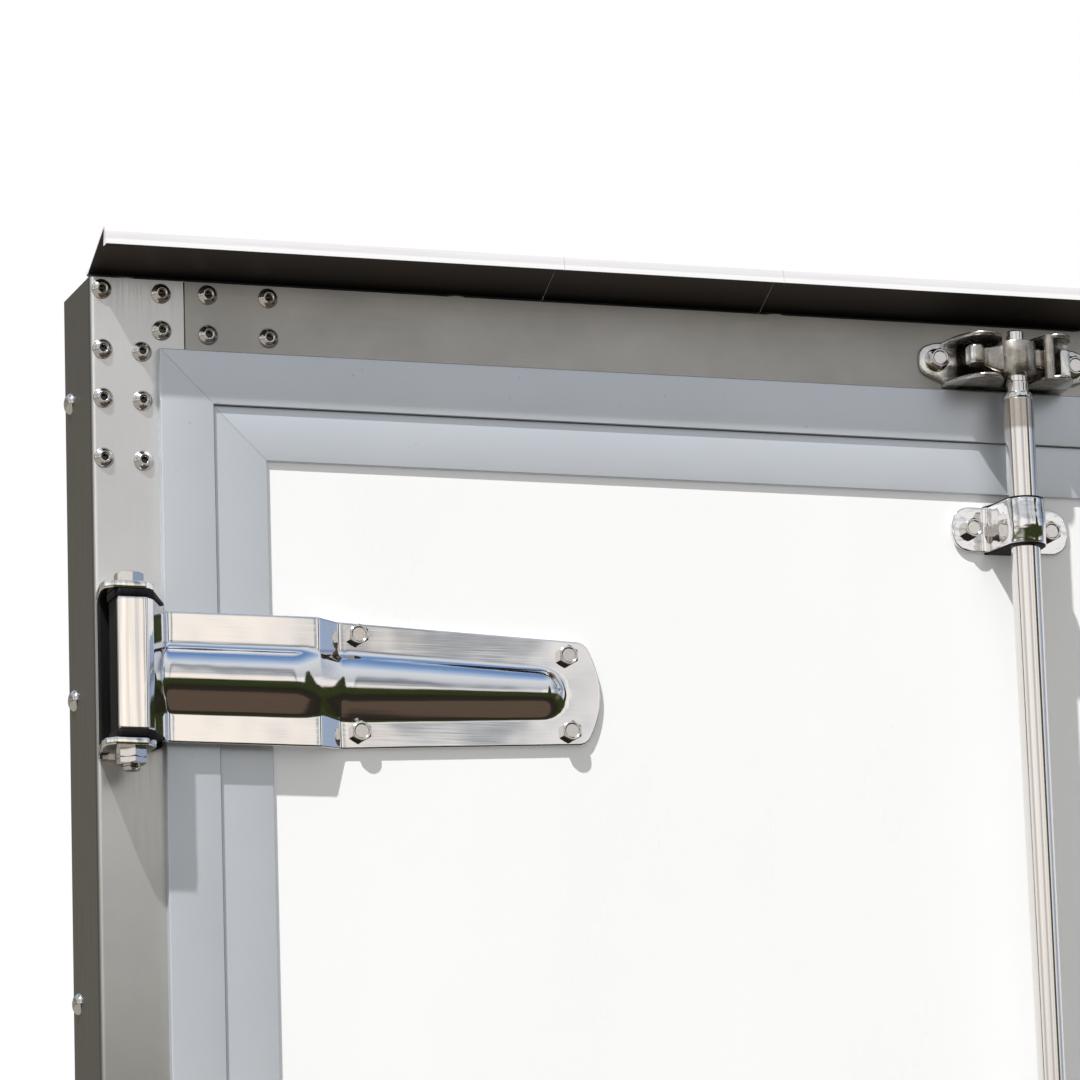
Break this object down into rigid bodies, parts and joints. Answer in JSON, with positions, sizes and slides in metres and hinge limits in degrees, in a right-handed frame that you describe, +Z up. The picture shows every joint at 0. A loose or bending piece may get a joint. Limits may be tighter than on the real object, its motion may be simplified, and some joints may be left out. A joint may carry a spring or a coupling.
{
  "type": "rear door frame with doors of a refrigerated truck body",
  "caption": "Stainless rear frame of an insulated truck body with hinged doors, strap hinges, lock rods, keepers and a rain gutter.",
  "frame": {"origin": "middle of the sill's underside, in the plane of the corner posts' rear faces", "axes": "+X to the right seen from behind the truck, +Y forward into the load space, +Z up"},
  "size_m": [2.2, 0.1355, 2.2752],
  "materials": {
    "post_steel": "brushed",
    "polished_steel": "polished",
    "rod_steel": "polished tube",
    "cast_steel": "cast, tumbled",
    "bolt_steel": "machined",
    "gutter_steel": "mill",
    "jamb_aluminium": "satin anodised",
    "white_panel": "gel coat",
    "filler": "foam and board, cut",
    "black_polymer": "moulded",
    "seal_rubber": "extruded"
  },
  "bodies": {
    "frame": {"header_beam": "post_steel", "sill_beam": "post_steel", "header_core": "filler", "sill_core": "filler", "jamb_profiles": "jamb_aluminium", "rain_gutter": "gutter_steel", "keepers_top": "cast_steel", "keepers_bottom": "cast_steel", "corner_post_left": "post_steel", "corner_post_right": "post_steel", "post_core_left": "filler", "post_core_right": "filler", "hinge_brackets_left": "polished_steel", "hinge_brackets_right": "polished_steel", "hinge_pads_left": "black_polymer", "hinge_pads_right": "black_polymer", "hinge_bolts_left": "bolt_steel", "hinge_bolts_right": "bolt_steel"},
    "door_left": {"leaf_panel_left": "white_panel", "leaf_profiles_left": "jamb_aluminium", "leaf_seal_left": "seal_rubber", "hinge_straps_left": "polished_steel", "hinge_bushes_left": "black_polymer", "rod_guides_left": "polished_steel", "guide_bushes_left": "black_polymer", "handle_catch_left": "polished_steel"},
    "rod_left": {"lock_rod_left": "rod_steel", "rod_cams_left": "cast_steel", "handle_hub_left": "cast_steel"},
    "handle_left": {"handle_lever_left": "polished_steel"},
    "door_right": {"leaf_panel_right": "white_panel", "leaf_profiles_right": "jamb_aluminium", "leaf_seal_right": "seal_rubber", "hinge_straps_right": "polished_steel", "hinge_bushes_right": "black_polymer", "rod_guides_right": "polished_steel", "guide_bushes_right": "black_polymer", "handle_catch_right": "polished_steel"},
    "rod_right": {"lock_rod_right": "rod_steel", "rod_cams_right": "cast_steel", "handle_hub_right": "cast_steel"},
    "handle_right": {"handle_lever_right": "polished_steel"}
  },
  "joints": [
    {"name": "door_left_hinge", "type": "hinge", "parent": "frame", "child": "door_left", "pos_m": [-1.0837, -0.03, 1], "axis": [0, 0, -1], "range_deg": [0, 240]},
    {"name": "rod_left_turn", "type": "hinge", "parent": "door_left", "child": "rod_left", "pos_m": [-0.428, -0.03, 0.9], "axis": [0, 0, 1], "range_deg": [0, 100]},
    {"name": "handle_left_lift", "type": "hinge", "parent": "rod_left", "child": "handle_left", "pos_m": [-0.466, -0.03, 0.9], "axis": [0, 1, 0], "range_deg": [0, 25]},
    {"name": "door_right_hinge", "type": "hinge", "parent": "frame", "child": "door_right", "pos_m": [1.0837, -0.03, 1], "axis": [0, 0, 1], "range_deg": [0, 240]},
    {"name": "rod_right_turn", "type": "hinge", "parent": "door_right", "child": "rod_right", "pos_m": [0.428, -0.03, 0.9], "axis": [0, 0, -1], "range_deg": [0, 100]},
    {"name": "handle_right_lift", "type": "hinge", "parent": "rod_right", "child": "handle_right", "pos_m": [0.466, -0.03, 0.9], "axis": [0, -1, 0], "range_deg": [0, 25]}
  ]
}
